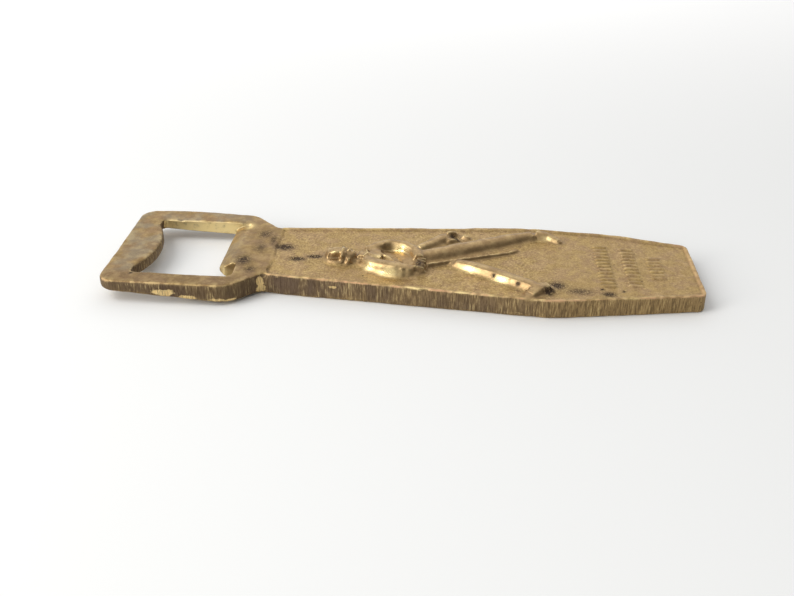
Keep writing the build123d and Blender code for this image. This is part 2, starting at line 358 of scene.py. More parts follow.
@dataclass
class Golfer:
    """The golfer in relief, with the head towards the ring and the feet towards the tail.

    Each field holds one region of the figure as its limbs.
    """

    golfer_cap: tuple[Limb, ...] = (
        limb((56.2, -1.3, 1.9, 2.5), (56.9, -3.7, 2.0, 2.6)),
        limb((57.5, -1.4, 1.9, 2.9), (57.8, -4.0, 1.8, 2.9)),
        limb((59.0, -0.3, 0.6, 2.7), (59.4, -2.7, 0.7, 3.4), (59.1, -5.2, 0.6, 2.4)),
    )
    golfer_head: tuple[Limb, ...] = (
        limb((59.8, -2.7, 2.7, 2.5), (61.4, -2.7, 2.3, 2.4), (62.6, -2.6, 1.3, 2.2)),
        limb((60.2, -2.7, 0.34, 2.9), (61.2, -2.7, 0.46, 3.3)),
        limb((60.0, -1.2, 0.4, 2.85), (60.1, -1.9, 0.3, 2.85)),
        limb((60.0, -4.2, 0.4, 2.85), (60.1, -3.5, 0.3, 2.85)),
        limb((62.0, -2.2, 0.26, 2.8), (62.1, -3.2, 0.26, 2.8)),
        limb((62.9, -2.7, 0.6, 2.4),),
        limb((60.6, 0.1, 0.6, 1.9), (61.4, 0.0, 0.5, 1.8)),
        limb((60.6, -5.3, 0.6, 1.9), (61.4, -5.2, 0.5, 1.8)),
    )
    golfer_collar: tuple[Limb, ...] = (
        limb((63.9, -3.6, 1.2, 2.0), (64.1, -1.4, 1.2, 2.0)),
        limb((64.6, -4.2, 0.5, 2.4), (65.6, -2.6, 0.5, 2.5), (65.0, -0.4, 0.5, 2.4)),
    )
    golfer_jacket: tuple[Limb, ...] = (
        limb((66.2, -2.2, 3.6, 2.2), (69.2, -2.0, 3.8, 2.2)),
        limb((71.6, -3.2, 2.6, 1.6), (73.4, -6.0, 2.0, 1.7)),
        limb((73.4, -1.6, 4.0, 0.7), (77.4, -3.4, 3.0, 1.0)),
        limb((79.6, 0.0, 2.2, 2.0), (83.6, 1.2, 2.4, 2.1)),
        limb((66.0, -2.8, 0.5, 2.5), (69.4, -4.4, 0.5, 2.5)),
        limb((68.0, -1.4, 0.5, 2.5), (70.6, -3.4, 0.6, 2.5), (73.4, -7.0, 0.5, 2.4)),
    )
    golfer_left_arm: tuple[Limb, ...] = (
        limb((65.2, 0.4, 1.9, 2.2), (68.0, 2.8, 1.9, 2.6), (71.2, 4.3, 1.6, 2.8), (75.2, 3.2, 1.6, 2.8)),
        limb((75.2, 3.2, 1.6, 2.8), (78.1, 0.5, 1.9, 2.7), (78.9, -3.2, 1.8, 2.5)),
        limb((69.2, 2.0, 0.4, 2.8), (70.4, 4.6, 0.4, 2.8)),
    )
    golfer_right_arm: tuple[Limb, ...] = (
        limb(
            *((64.8, -4.4, 1.6, 2.1), (67.4, -6.6, 1.9, 2.5), (70.6, -8.2, 2.0, 2.9), (73.8, -9.0, 2.0, 2.9)),
            swell=1.35,
        ),
        limb((73.8, -9.0, 2.0, 2.9), (77.8, -9.0, 1.6, 2.2), swell=1.2),
        limb((75.0, -10.9, 0.45, 2.6), (74.4, -8.2, 0.4, 3.1)),
        limb((76.6, -10.6, 0.45, 2.2), (76.0, -8.2, 0.4, 2.9)),
    )
    golfer_hands: tuple[Limb, ...] = (
        limb((79.0, -5.4, 1.8, 2.4), (79.0, -8.0, 1.7, 2.1)),
        limb((80.8, -4.4, 0.5, 2.4), (78.4, -4.8, 0.5, 2.8)),
        limb((80.9, -5.8, 0.5, 2.3), (78.2, -6.0, 0.5, 2.8)),
        limb((80.8, -7.2, 0.5, 2.1), (78.0, -7.3, 0.5, 2.7)),
        limb((80.4, -8.6, 0.5, 1.9), (78.0, -8.6, 0.5, 2.5)),
    )
    coat_tail: tuple[Limb, ...] = (
        limb((78.6, 3.8, 1.4, 1.6), (82.4, 7.8, 1.8, 1.8), (85.4, 11.2, 1.8, 1.8)),
        limb((85.6, 12.8, 0.9, 1.8), (88.2, 13.8, 0.7, 1.5)),
        limb((90.2, 12.4, 0.9, 1.2), (91.6, 11.8, 0.7, 1.0)),
        limb((86.2, 9.0, 0.8, 1.4), (88.6, 10.2, 0.6, 1.1)),
    )
    golfer_left_leg: tuple[Limb, ...] = (
        limb(
            *((81.0, 0.2, 2.4, 2.1), (84.6, 2.0, 2.6, 2.2), (90.4, 4.9, 2.7, 2.3), (97.6, 8.6, 2.5, 2.3)),
            swell=1.0,
        ),
        limb((97.6, 8.6, 2.5, 2.3), (103.8, 12.0, 2.2, 2.1), (108.8, 14.6, 1.7, 1.8), swell=1.0),
        limb((107.6, 15.2, 0.5, 1.8), (109.0, 12.8, 0.5, 1.6)),
    )
    golfer_right_leg: tuple[Limb, ...] = (
        limb(
            *((88.4, -2.8, 1.5, 1.4), (92.4, -4.7, 1.8, 1.8), (98.6, -8.1, 1.9, 1.9)),
            *((107.8, -13.6, 1.8, 1.8),),
            swell=1.35,
        ),
    )
    golfer_left_shoe: tuple[Limb, ...] = (
        limb((109.8, 14.8, 1.6, 2.1), (112.8, 14.2, 1.5, 1.9), (115.8, 12.0, 1.1, 1.2)),
    )
    golfer_right_shoe: tuple[Limb, ...] = (
        limb((111.2, -13.3, 1.5, 1.7), (108.8, -14.6, 2.1, 1.9), (106.6, -17.0, 1.6, 1.2), swell=1.25),
    )
    club_shaft: tuple[Limb, ...] = (
        limb((80.8, -4.9, 0.6, 1.2), (91.0, -0.3, 0.55, 0.95), (101.6, 4.1, 0.5, 0.75)),
    )
    club_head: tuple[Limb, ...] = (limb((102.4, 4.5, 0.6, 0.8), (104.0, 5.9, 0.8, 0.7)),)

    crisp: ClassVar[tuple[str, ...]] = (
        *("golfer_cap", "golfer_head", "golfer_collar", "golfer_hands"),
        *("golfer_left_shoe", "golfer_right_shoe", "club_shaft", "club_head"),
    )

    def regions(self) -> dict[str, tuple[Limb, ...]]:
        """The limbs of each named region."""
        return {one.name: getattr(self, one.name) for one in fields(self)}

    def build(self) -> list[bpy.types.Object]:
        """Adds every limb of the figure and the club.

        Returns:
            The rough solids, which overlap each other and the field.
        """
        maker = LimbMaker()
        made = []
        for name, limbs in self.regions().items():
            for shape in limbs:
                made += maker.build(shape)
            log.info("modelled %s from %d limbs", name, len(limbs))
        return made

    def nearest(self, at: Array, y: Array) -> tuple[Array, Array]:
        """Finds the region that each point of the plan belongs to.

        Args:
            at: Distances from the ring's free end, in millimetres.
            y: Places across the tool, in millimetres.

        Returns:
            The number of the nearest region, in the order of regions(), and how far outside it the point is.
        """
        best = np.full(at.shape, np.inf)
        owner = np.zeros(at.shape, int)
        for number, limbs in enumerate(self.regions().values()):
            for shape in limbs:
                for first, second in zip(shape, shape[1:] or shape):
                    run = np.array((second.at - first.at, second.y - first.y))
                    square = max(float(run @ run), 1e-9)
                    share = np.clip(((at - first.at) * run[0] + (y - first.y) * run[1]) / square, 0.0, 1.0)
                    half = first.half + share * (second.half - first.half)
                    rise = first.rise + share * (second.rise - first.rise)
                    gap = np.hypot(at - first.at - share * run[0], y - first.y - share * run[1])
                    level = rise * (gap / half - 1.0)
                    closer = level < best
                    best = np.where(closer, level, best)
                    owner = np.where(closer, number, owner)
        return owner, best


# ------------------------------------------------------------
# Wear and tear


@dataclass(frozen=True)
class Spot:
    """A place on the tool.

    Attributes:
        at: Distance from the ring's free end, in millimetres.
        y: Place across the tool, in millimetres.
        z: Height, in millimetres.
        reach: How far it spreads along X, Y and Z, in millimetres.
    """

    at: float
    y: float
    z: float
    reach: tuple[float, float, float]

    def share(self, places: Array) -> Array:
        """How strongly it acts at each of these places, in metres, from 0 to 1."""
        middle = np.array((LAYOUT.x(self.at), self.y * MM, self.z * MM))
        away = (places - middle) / (np.array(self.reach) * MM)
        return np.exp(-(away**2).sum(1) * 2.0)


@dataclass(frozen=True)
class Nick(Spot):
    """A knock in the metal; push says which way the metal went, and how far, in millimetres."""

    push: tuple[float, float, float]


@dataclass(frozen=True)
class Rub(Spot):
    """A place where the skin is rubbed bare, stained, or laid bare as a painted highlight; strength, from 0
    to 1, is that at its middle.
    """

    strength: float = 1.0


@dataclass
class HandWear:
    """What use and rough finishing did to the casting, with painted highlights laid as bare metal on the
    figure's flanks among its rubs.
    """

    nicks: tuple[Nick, ...] = (
        Nick(81.2, -17.6, 5.2, (1.3, 1.0, 0.9), (0.0, 0.25, -0.45)),
        Nick(84.6, -17.9, 5.2, (1.6, 0.8, 0.8), (0.0, 0.2, -0.3)),
        Nick(90.0, -18.4, 5.1, (1.8, 0.7, 0.7), (0.0, 0.15, -0.2)),
        Nick(76.0, -17.0, 5.2, (2.6, 0.5, 0.6), (0.0, 0.1, -0.15)),
        Nick(40.6, -13.9, 5.4, (1.0, 1.0, 1.0), (0.0, 0.35, -0.4)),
        Nick(119.2, 19.2, 4.9, (1.4, 0.8, 0.9), (0.0, -0.3, -0.3)),
        Nick(131.0, 17.0, 4.8, (2.4, 0.8, 0.8), (0.0, -0.15, -0.2)),
        Nick(12.0, 15.4, 5.7, (0.9, 0.8, 0.5), (0.0, 0.0, -0.35)),
        Nick(149.2, -12.4, 4.3, (1.0, 1.0, 0.8), (-0.1, 0.1, -0.25)),
        Nick(30.4, -17.2, 5.6, (2.2, 1.4, 0.5), (0.0, 0.0, -0.1)),
        Nick(42.4, 2.2, 5.3, (1.4, 0.8, 0.6), (0.0, 0.0, -0.18)),
        Nick(46.6, -3.6, 5.1, (1.6, 0.5, 0.5), (0.0, 0.0, -0.22)),
        Nick(51.4, -2.0, 5.1, (1.0, 0.5, 0.5), (0.0, 0.0, -0.2)),
        Nick(28.2, -8.4, 3.6, (1.0, 1.2, 1.4), (0.5, 0.35, 0.0)),
        Nick(31.2, 13.4, 5.3, (2.2, 2.4, 1.8), (0.6, 0.0, -0.9)),
        Nick(96.0, 18.8, 4.0, (17.0, 1.6, 6.0), (0.0, 0.7, 0.0)),
        Nick(108.0, 19.6, 4.8, (1.4, 0.8, 1.4), (0.0, -0.35, -0.1)),
        Nick(14.0, 19.8, 5.4, (16.0, 2.6, 4.0), (0.0, 0.45, 0.25)),
        Nick(132.0, 16.5, 3.0, (17.0, 4.0, 8.0), (0.0, 1.2, 0.1)),
        Nick(40.2, -13.4, 5.4, (0.9, 0.9, 1.0), (0.0, 0.3, -0.35)),
        Nick(42.6, -13.8, 5.3, (1.2, 0.7, 0.8), (0.0, 0.2, -0.3)),
        Nick(41.2, 8.6, 5.3, (0.5, 2.6, 0.8), (0.3, 0.0, -0.12)),
        Nick(41.0, 1.6, 5.3, (0.8, 1.8, 0.8), (-0.3, 0.0, -0.15)),
        Nick(41.4, -4.6, 5.3, (0.6, 2.2, 0.8), (0.4, 0.0, 0.10)),
        Nick(41.0, -10.2, 5.3, (0.9, 1.6, 0.8), (-0.35, 0.0, -0.1)),
    )
    bare: tuple[Rub, ...] = (
        Rub(17.0, -20.4, 3.2, (4.5, 1.4, 1.5), 0.9),
        Rub(22.5, -20.4, 2.0, (3.5, 1.4, 1.2), 0.8),
        Rub(30.0, -20.2, 1.6, (5.0, 1.4, 0.9), 0.6),
        Rub(39.6, -13.6, 3.6, (1.3, 1.6, 3.0), 0.8),
        Rub(57.8, -15.2, 3.6, (2.2, 1.0, 0.8), 0.7),
        Rub(83.0, -18.0, 4.9, (3.0, 0.9, 0.9), 1.0),
        Rub(103.0, -19.6, 0.8, (3.0, 1.0, 1.0), 0.8),
        Rub(28.6, -8.6, 3.2, (1.8, 1.8, 2.4), 1.0),
        Rub(33.0, -19.0, 1.2, (3.0, 2.0, 0.8), 0.8),
        Rub(39.8, -13.8, 1.6, (1.8, 2.0, 1.6), 0.9),
        Rub(43.6, -13.9, 5.0, (2.6, 0.8, 0.8), 0.8),
        Rub(31.6, 14.2, 3.6, (2.0, 1.6, 3.0), 1.0),
        # Rubs on the figure's flanks that face the front-left light: bare metal laid there as painted
        # highlights.
        Rub(72.0, -10.4, 6.0, (4.6, 1.6, 1.8), 1.0),
        Rub(66.8, -7.8, 6.0, (3.0, 1.6, 1.8), 0.9),
        Rub(69.0, -4.0, 7.4, (3.0, 1.2, 1.2), 0.7),
        Rub(73.6, 1.6, 6.0, (3.2, 1.6, 2.0), 1.0),
        Rub(79.0, 4.4, 5.6, (2.0, 1.4, 1.2), 0.8),
        Rub(93.0, -6.2, 5.4, (5.0, 1.6, 1.4), 1.0),
        Rub(101.0, -11.0, 5.4, (5.0, 1.6, 1.4), 1.0),
        Rub(112.4, 12.6, 5.6, (2.6, 1.0, 1.0), 0.8),
    )
    stains: tuple[Rub, ...] = (
        Rub(43.0, 2.6, 5.2, (3.4, 2.2, 1.5), 0.9),
        Rub(47.4, -3.6, 5.1, (2.6, 1.4, 1.5), 1.0),
        Rub(51.8, -2.0, 5.1, (2.6, 1.3, 1.5), 1.0),
        Rub(39.6, 5.6, 5.4, (1.4, 4.0, 1.5), 0.5),
        Rub(34.0, -6.4, 5.6, (2.6, 3.4, 1.2), 0.7),
        Rub(37.0, 1.0, 5.6, (2.4, 3.4, 1.2), 0.4),
        Rub(36.8, 8.6, 5.6, (2.6, 3.0, 1.2), 0.5),
        Rub(36.4, -11.0, 5.4, (2.4, 2.4, 1.4), 0.5),
        Rub(7.6, -15.9, 5.8, (0.6, 0.6, 1.0), 1.0),
        Rub(113.6, -11.2, 4.7, (3.2, 2.6, 1.5), 0.7),
        Rub(110.8, -15.4, 5.0, (2.2, 1.6, 2.0), 0.9),
        Rub(126.0, -14.4, 4.5, (2.4, 1.5, 1.5), 0.8),
        Rub(124.6, -12.2, 4.5, (0.7, 0.6, 1.2), 1.0),
        Rub(129.8, -12.6, 4.5, (0.6, 0.6, 1.2), 1.0),
        Rub(119.0, -13.6, 4.5, (5.0, 2.2, 1.5), 0.45),
        Rub(59.6, -0.4, 8.0, (2.0, 1.8, 1.8), 0.7),
        Rub(79.0, -7.0, 7.0, (2.0, 2.6, 2.4), 0.6),
        Rub(87.6, 12.0, 5.4, (1.8, 1.2, 1.2), 0.9),
        Rub(111.6, -14.8, 5.2, (2.0, 1.2, 1.4), 0.9),
        Rub(98.0, -9.5, 5.6, (0.7, 0.6, 0.9), 1.0),
        Rub(103.8, -13.0, 5.6, (0.7, 0.6, 0.9), 1.0),
        Rub(88.4, 10.2, 5.2, (1.6, 0.8, 1.4), 1.0),
    )

    def knock(self, places: Array) -> Array:
        """Moves the places that the nicks reach.

        Args:
            places: Vertex places, in metres.

        Returns:
            The new places.
        """
        moved = places.copy()
        for nick in self.nicks:
            moved += nick.share(places)[:, None] * np.array(nick.push) * MM
        return moved

    def mask(self, spots: Iterable[Rub], places: Array) -> Array:
        """How strongly a set of rubs acts at each place, from 0 to 1."""
        total = np.zeros(len(places))
        for spot in spots:
            total = np.maximum(total, spot.strength * spot.share(places))
        return total


# ------------------------------------------------------------
# The casting


@dataclass
class Casting:
    """The whole tool as one shell, from rough solids to a worn casting.

    Attributes:
        nodes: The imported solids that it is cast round.
        voxel: Size of the cells that the shell is rebuilt from, in metres.
        soften: Passes of smoothing after the rebuild.
        easing: Further passes where the figure's thick limbs are.
        ruffles: Grain and height of each unevenness of the mould, in millimetres.
        blend: Over which levels outside the figure's limbs the easing grows.
        eased: How far the figure's limbs are eased.
        crisp_eased: How far its small crisp parts are.
        bars: Where the rows of bars begin and end, as two soft steps.
        bars_half: The soft step at their two ends across the tool.
        bars_eased: How far they are eased.
        far_bar: Where the ring's thinner far bar begins and ends, as two soft steps.
        far_side: The soft step across the tool up to it.
        far_base: Height of its underside at the ring's free end, in millimetres.
        far_slope: How much that height falls for each millimetre along.
        window: The window's X range and half width, in millimetres, a little wider than it is.
        side: How far from the middle line the outer walls are, in millimetres.
        border: The soft step down from the neck's border to the field.
        near: The soft step across the tool to its near edge.
        bright_edge: Where the near edge is rubbed most, as two soft steps.
    """

    nodes: tuple[str, ...] = (
        *("opener_ring", "fulcrum_lobe", "lifting_lip", "handle_plate", "raised_border"),
        *("bar_row_1", "bar_row_2", "bar_row_3"),
    )
    voxel: float = 0.22 * MM
    soften: int = 3
    easing: int = 12
    ruffles: tuple[Span, ...] = ((9.0, 0.26), (3.0, 0.14))
    blend: Span = (1.3, 0.2)
    eased: float = 0.9
    crisp_eased: float = 0.25
    bars: tuple[Span, Span] = ((120.0, 123.0), (144.0, 142.0))
    bars_half: Span = (12.0, 11.0)
    bars_eased: float = 0.36
    far_bar: tuple[Span, Span] = ((4.0, 8.0), (34.0, 29.0))
    far_side: Span = (12.6, 14.4)
    far_base: float = 3.3
    far_slope: float = 0.044
    window: tuple[float, float, float] = (6.6, 33.0, 15.6)
    side: float = 11.0
    border: Span = (40.4, 41.4)
    near: Span = (-13.0, -16.5)
    bright_edge: tuple[Span, Span] = ((50.0, 60.0), (116.0, 106.0))
    golfer: Golfer = field(default_factory=Golfer)
    wear: HandWear = field(default_factory=HandWear)

    def blanks(self) -> list[bpy.types.Object]:
        """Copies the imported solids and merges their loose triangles.

        Returns:
            A closed copy of each node.
        """
        copies = []
        for name in self.nodes:
            copy = bpy.data.objects.new(f"{name}_blank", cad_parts[name].data.copy())
            bpy.context.scene.collection.objects.link(copy)
            pick(copy)
            with editing():
                bpy.ops.mesh.select_all(action="SELECT")
                bpy.ops.mesh.remove_doubles(threshold=1e-6)
            copies.append(copy)
        return copies

    def ruffle(self, shell: bpy.types.Object, grain: float, height: float) -> None:
        """Makes a surface uneven.

        Args:
            shell: The object to change.
            grain: Size of the unevenness, in millimetres.
            height: Its height from trough to crest, in millimetres.
        """
        clouds = bpy.data.textures.new(f"clouds_{grain:g}", "CLOUDS")
        clouds.noise_scale = grain * MM
        clouds.noise_depth = 1
        strength = height * MM
        modify(shell, "DISPLACE", texture=clouds, texture_coords="LOCAL", strength=strength, mid_level=0.5)

    def cast(self) -> bpy.types.Object:
        """Fuses the solids and the figure into one soft, worn shell.

        Returns:
            The shell, in quads, with no finish yet.
        """
        shell = fuse(self.blanks() + self.golfer.build(), "casting")
        shell.data.materials.clear()
        modify(shell, "REMESH", mode="VOXEL", voxel_size=self.voxel, use_smooth_shade=True)
        modify(shell, "SMOOTH", factor=0.5, iterations=self.soften)
        for grain, height in self.ruffles:
            self.ruffle(shell, grain, height)
        places = self.wear.knock(self.thin(self.ease(shell.data)))
        places[:, 2] = np.maximum(places[:, 2], 0.0)
        write_vertices(shell.data, places)
        log.info("cast the shell, %d vertices", len(shell.data.vertices))
        return shell

    def passes(self, count: int) -> int:
        """How many passes of averaging reach as far as this count does in cells of 0.22 mm."""
        return int(round(count * (0.22 * MM / self.voxel) ** 2)) + 1

    def ease(self, mesh: bpy.types.Mesh) -> Array:
        """Runs the thick limbs of the figure softly into each other and into the field, and the bars too.

        Args:
            mesh: The shell's mesh.

        Returns:
            The eased vertex places.
        """
        places = read_vertices(mesh)
        at, y = LAYOUT.at(places[:, 0]), places[:, 1] / MM
        owner, outside = self.golfer.nearest(at, y)
        crisp = np.array([name in self.golfer.crisp for name in self.golfer.regions()])
        limbs = smooth_step(outside, *self.blend) * np.where(crisp[owner], self.crisp_eased, self.eased)
        bars = band(at, *self.bars) * smooth_step(np.abs(y), *self.bars_half)
        share = np.maximum(limbs, self.bars_eased * bars)
        calm = self.relax(mesh, places, self.passes(self.easing))
        return places + share[:, None] * (calm - places)

    def thin(self, places: Array) -> Array:
        """Raises the underside of the ring's far bar, which is thinner than the near one.

        Args:
            places: Vertex places, in metres.

        Returns:
            The new places.
        """
        at, y = LAYOUT.at(places[:, 0]), places[:, 1] / MM
        share = band(at, *self.far_bar) * smooth_step(y, *self.far_side)
        base = (self.far_base - at * self.far_slope) * MM
        raised = places.copy()
        raised[:, 2] += share * np.maximum(base - places[:, 2], 0.0)
        return raised

    def relax(self, mesh: bpy.types.Mesh, places: Array, passes: int) -> Array:
        """Averages each vertex with its neighbours, some number of times over.

        Args:
            mesh: The mesh that the places belong to.
            places: The vertex places to start from.
            passes: How many times to average.

        Returns:
            The averaged places.
        """
        first, second = edge_ends(mesh).T
        count = len(places)
        degree = np.bincount(first, minlength=count) + np.bincount(second, minlength=count)
        calm = places.copy()
        for _ in range(passes):
            for axis in range(3):
                total = np.bincount(first, calm[second, axis], count)
                total += np.bincount(second, calm[first, axis], count)
                calm[:, axis] = total / degree
        return calm

    def survey(self, shell: bpy.types.Object) -> None:
        """Measures the shell and stores what the finishes need as attributes.

        Args:
            shell: The worn shell.
        """
        mesh = shell.data
        places = read_vertices(mesh)
        normals = read_vertices(mesh, "normal")
        at, y, z = LAYOUT.at(places[:, 0]), places[:, 1] / MM, places[:, 2] / MM
        fine = self.passes(8)
        near = self.relax(mesh, places, fine)
        far = self.relax(mesh, near, 7 * fine)
        out_fine = ((places - near) * normals).sum(1) / MM
        out_far = ((places - far) * normals).sum(1) / MM
        over_field = (places[:, 2] - LAYOUT.field(places[:, 0])) / MM
        upward = normals[:, 2] > 0.0

        # Which part of the tool each place is on.
        _, outside = self.golfer.nearest(at, y)
        figure = smooth_step(outside, 1.1, 0.0) * (over_field > -0.3)
        window_from, window_to, window_half = self.window
        in_window = (at > window_from) & (at < window_to) & (np.abs(y) < window_half)
        steep = smooth_step(np.abs(normals[:, 2]), 0.80, 0.45)
        # The lobe's side that faces into the window, away from the key light, is counted with the ends: the
        # dark skin of the filed sides is laid on it as painted shade.
        ends = (at > 148.0) | (at < 2.0) | ((at < 14.0) & (normals[:, 0] > 0.3))
        sides = steep * ~in_window * (1.0 - figure) * (np.abs(y) > self.side)
        far_wall = steep * in_window * smooth_step(normals[:, 1], -0.35, -0.75) * (y > 8.0)
        sand = smooth_step(at, 40.6, 41.8) * smooth_step(over_field, 0.40, 0.05) * upward
        near_edge = (y < -10.0) * (z > 3.0) * (1.0 - figure)
        rubbed = np.maximum(0.6, band(at, *self.bright_edge))
        beside_field = smooth_step(at, *self.border[::-1])
        attributes = {
            "ridge": smooth_step(out_fine, 0.05, 0.13) * np.maximum(0.26, figure * 0.5),
            "edge": smooth_step(out_fine, 0.085, 0.15) * near_edge * rubbed,
            "crease": smooth_step(-out_fine, 0.02, 0.10) * (1.0 - 0.5 * figure) * (1.0 - 0.5 * sand),
            "crown": smooth_step(out_far, 0.04, 0.34),
            # Filed sides and ends, and the painted shade on the lobe's side that faces into the window.
            "wall": np.maximum(sides, steep * ends),
            "sand": sand * (1.0 - figure),
            # Rubbed bare metal, the far bar's inner face, and painted highlights on the figure's flanks.
            "bare": np.maximum(self.wear.mask(self.wear.bare, places), far_wall * 0.8),
            "stain": self.wear.mask(self.wear.stains, places),
            "figure": figure,
            "tip": smooth_step(at, 36.0, 26.0) * smooth_step(y, *self.near[::-1]),
            "brown": beside_field * (0.5 + 0.5 * smooth_step(y, *self.near)),
            "tail": smooth_step(at, 104.0, 118.0),
            "rim": smooth_step(at, 145.9, 146.5) * smooth_step(over_field, 0.05, 0.25) * upward,
        }
        for name, numbers in attributes.items():
            store = mesh.attributes.new(name, "FLOAT", "POINT")
            store.data.foreach_set("value", numbers.astype(np.float32))
        log.info("surveyed %s", ", ".join(attributes))


# ------------------------------------------------------------
# Parting the casting into its regions


class Slot(Enum):
    """The record's material slots."""

    TARNISHED = "tarnished_brass"
    WORN = "worn_brass"
    SAND_CAST = "sand_cast_brass"
    RELIEF = "relief_brass"


class Cut(Enum):
    """Which way the face lies that closes a piece where it was cut from the others."""

    ACROSS = "upright, across the tool"
    DOWN = "level, under the field, with walls down to it"


@dataclass(frozen=True)
class Region:
    """One named region of the casting.

    Attributes:
        name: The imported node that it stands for.
        slot: Its material slot.
        also: Further nodes that it stands for.
    """

    name: str
    slot: Slot
    also: tuple[str, ...] = ()


@dataclass
class Parting:
    """Cuts the shell into closed pieces along the tool's own boundaries.

    Attributes:
        shell: The surveyed shell.
        golfer: The figure, which says what lies where on the field.
        foot: How far outside its limbs a region of the figure reaches, as a level in millimetres.
        sink: How far under the field a region of relief ends, in millimetres.
        most: The most triangles that a piece may keep; the rest are taken from its underside.
        underside: Below what height they are taken, in millimetres.
        neck: Where the ring ends and the handle begins, in millimetres from the ring's free end.
        lobe: Where the fulcrum lobe begins and ends, and its half width, in millimetres.
        lip: Where the lifting lip begins and ends, along the tool and across it, in millimetres.
        relief_from: Where the relief begins, in millimetres from the ring's free end.
        margin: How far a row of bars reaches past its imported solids, in millimetres.
        sharp: Past what angle an edge is shaded sharp, in degrees.
    """

    shell: bpy.types.Object
    golfer: Golfer
    foot: float = 0.6
    sink: float = 0.45
    most: int = 185000
    underside: float = 0.7
    neck: float = 40.4
    lobe: tuple[float, float, float] = (7.7, 14.0, 13.2)
    lip: tuple[float, float, float, float] = (26.0, 31.2, -10.0, 12.6)
    relief_from: float = 44.0
    margin: float = 0.3
    sharp: float = 62.0

    def regions(self) -> list[Region]:
        """The regions in the order of their numbers, the handle first."""
        figure = [Region(name, Slot.RELIEF) for name in self.golfer.regions()]
        bars = [Region(f"bar_row_{number}", Slot.SAND_CAST) for number in (1, 2, 3)]
        return [
            Region("handle_plate", Slot.SAND_CAST, ("raised_border",)),
            Region("opener_ring", Slot.TARNISHED),
            Region("fulcrum_lobe", Slot.TARNISHED),
            Region("lifting_lip", Slot.WORN),
            *bars,
            *figure,
        ]

    def label(self) -> Array:
        """Says which region each face of the shell belongs to.

        Returns:
            The number of each face's region.
        """
        mesh = self.shell.data
        middles = read(mesh.polygons, "center", 3, np.float32).astype(float)
        facing = read(mesh.polygons, "normal", 3, np.float32)
        at, y = LAYOUT.at(middles[:, 0]), middles[:, 1] / MM
        over = (middles[:, 2] - LAYOUT.field(middles[:, 0])) / MM
        labels = np.zeros(len(middles), int)
        labels[at < self.neck] = 1
        lobe_from, lobe_to, lobe_half = self.lobe
        labels[(at > lobe_from) & (at < lobe_to) & (np.abs(y) < lobe_half)] = 2
        lip_from, lip_to, lip_right, lip_left = self.lip
        labels[(at > lip_from) & (at < lip_to) & (y > lip_right) & (y < lip_left)] = 3
        on_top = (at > self.relief_from) & (facing[:, 2] > 0.15)
        plan = middles[:, :2]
        for number in (1, 2, 3):
            low, high = (np.array(corner)[:2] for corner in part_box(f"bar_row_{number}"))
            inside = np.all((plan > low - self.margin * MM) & (plan < high + self.margin * MM), axis=1)
            labels[inside & on_top] = 3 + number
        owner, outside = self.golfer.nearest(at, y)
        held = on_top & (outside < self.foot) & (over > -0.3)
        labels[held] = 7 + owner[held]
        return labels

    def tidy(self, labels: Array, total: int) -> Array:
        """Clears specks from the labels, and places where a region touches itself at a single vertex.

        Args:
            labels: The number of each face's region.
            total: How many regions there are.

        Returns:
            The cleared labels.
        """
        mesh = self.shell.data
        edge, vertex = read(mesh.loops, "edge_index"), read(mesh.loops, "vertex_index")
        sides = read(mesh.polygons, "loop_total")
        face = np.repeat(np.arange(len(sides)), sides)
        first, second = face[np.argsort(edge, kind="stable")].reshape(-1, 2).T
        ends = edge_ends(mesh)
        for _ in range(6):
            keys = np.concatenate((first * total + labels[second], second * total + labels[first]))
            votes = np.bincount(keys, minlength=len(sides) * total).reshape(-1, total).astype(float)
            votes[np.arange(len(sides)), labels] += 1.5
            labels = votes.argmax(1)
        for _ in range(40):
            differ = labels[first] != labels[second]
            changes = np.bincount(ends[differ].ravel(), minlength=len(mesh.vertices))
            pairs = np.unique(vertex.astype(np.int64) * total + labels[face])
            kinds = np.bincount(pairs // total, minlength=len(mesh.vertices))
            bad = (changes > kinds)[vertex]
            if not bad.any():
                break
            lowest = np.full(len(mesh.vertices), total)
            np.minimum.at(lowest, vertex, labels[face])
            labels[face[bad]] = lowest[vertex[bad]]
        return labels

    def close(self, piece: bpy.types.Object) -> None:
        """Closes a piece where it was cut."""
        pick(piece)
        mesh = piece.data
        with editing():
            bpy.ops.mesh.select_mode(type="EDGE")
            bpy.ops.mesh.select_all(action="DESELECT")
            bpy.ops.mesh.select_non_manifold()
        rim = read(mesh.edges, "select", kind=bool)
        ends = edge_ends(mesh)
        at = LAYOUT.at(read_vertices(mesh)[ends[:, 0], 0])
        middle_of_ring = (self.lobe[1] + self.lip[0]) / 2
        past_lip = (self.lip[1] + self.neck) / 2
        past_neck = (self.neck + self.relief_from) / 2
        self.fill(mesh, ends, rim & (at < middle_of_ring))
        self.fill(mesh, ends, rim & (at > middle_of_ring) & (at < past_lip))
        self.cap(mesh, ends, rim & (at > past_lip) & (at < past_neck), Cut.ACROSS)
        self.cap(mesh, ends, rim & (at > past_neck), Cut.DOWN)
        with editing():
            bpy.ops.mesh.select_all(action="SELECT")
            bpy.ops.mesh.normals_make_consistent(inside=False)

    def cap(self, mesh: bpy.types.Mesh, ends: Array, rim: Array, cut: Cut) -> None:
        """Extends these edges of the active object to a level face, and makes that face.

        Args:
            mesh: The active object's mesh.
            ends: The two vertices of each of its edges, as they were when it was cut.
            rim: Which of those edges to extend.
            cut: Which way the face lies.
        """
        if not rim.any():
            return
        choose_edges(mesh, ends, rim)
        with editing():
            bpy.ops.mesh.extrude_edges_move()
        new = read(mesh.vertices, "select", kind=bool)
        places = read_vertices(mesh)
        if cut is Cut.ACROSS:
            places[new, 0] = places[new, 0].mean()
        else:
            places[new, 2] = LAYOUT.field(places[new, 0]) - self.sink * MM
        write_vertices(mesh, places)
        with editing():
            bpy.ops.mesh.fill(use_beauty=True)

